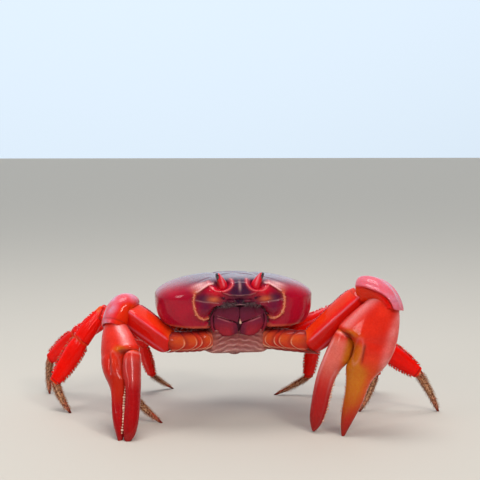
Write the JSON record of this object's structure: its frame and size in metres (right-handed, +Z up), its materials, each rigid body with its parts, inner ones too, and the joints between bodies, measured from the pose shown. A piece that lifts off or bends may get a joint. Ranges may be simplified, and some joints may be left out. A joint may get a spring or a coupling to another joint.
{
  "type": "land crab",
  "caption": "Life-size red land crab standing tall on claw tips and walking legs, its left claw open and its right claw closed; a still display model.",
  "frame": {"origin": "centre of the crab's footprint box, on the floor it stands on", "axes": "+Z up, -Y the way the crab faces, +X the crab's own left side"},
  "size_m": [0.2616, 0.145, 0.0971],
  "materials": {
    "shell": "glossy crimson to purple carapace with a fine grain",
    "face": "dark maroon, polished, with dark hair fringes",
    "belly": "pinkish brown, satin",
    "eye": "black polished cornea on a red stalk",
    "feeler": "thin red-brown feelers",
    "hinge": "orange ringed arm roots",
    "limb": "glossy scarlet, slightly translucent",
    "claw": "glossy scarlet, orange to yellow inside, dark red tips",
    "toe": "red-brown toes with rows of bristles"
  },
  "bodies": {
    "root": {"carapace": "shell", "thorax": "belly", "abdomen": "belly", "maxilliped_left": "face", "eye_left": "eye", "antenna_left": "feeler", "claw_left_base": "hinge", "claw_left_merus": "limb", "claw_left_carpus": "limb", "claw_left_palm": "claw", "claw_left_dactylus": "claw", "maxilliped_right": "face", "eye_right": "eye", "antenna_right": "feeler", "claw_right_base": "hinge", "claw_right_merus": "limb", "claw_right_carpus": "limb", "claw_right_palm": "claw", "claw_right_dactylus": "claw", "leg_r1_base": "hinge", "leg_r1_merus": "limb", "leg_r1_carpus": "limb", "leg_r1_propodus": "limb", "leg_r1_dactylus": "toe", "leg_r2_base": "hinge", "leg_r2_merus": "limb", "leg_r2_carpus": "limb", "leg_r2_propodus": "limb", "leg_r2_dactylus": "toe", "leg_r3_base": "hinge", "leg_r3_merus": "limb", "leg_r3_carpus": "limb", "leg_r3_propodus": "limb", "leg_r3_dactylus": "toe", "leg_r4_base": "hinge", "leg_r4_merus": "limb", "leg_r4_carpus": "limb", "leg_r4_propodus": "limb", "leg_r4_dactylus": "toe", "leg_l1_base": "hinge", "leg_l1_merus": "limb", "leg_l1_carpus": "limb", "leg_l1_propodus": "limb", "leg_l1_dactylus": "toe", "leg_l2_base": "hinge", "leg_l2_merus": "limb", "leg_l2_carpus": "limb", "leg_l2_propodus": "limb", "leg_l2_dactylus": "toe", "leg_l3_base": "hinge", "leg_l3_merus": "limb", "leg_l3_carpus": "limb", "leg_l3_propodus": "limb", "leg_l3_dactylus": "toe", "leg_l4_base": "hinge", "leg_l4_merus": "limb", "leg_l4_carpus": "limb", "leg_l4_propodus": "limb", "leg_l4_dactylus": "toe"}
  },
  "joints": []
}
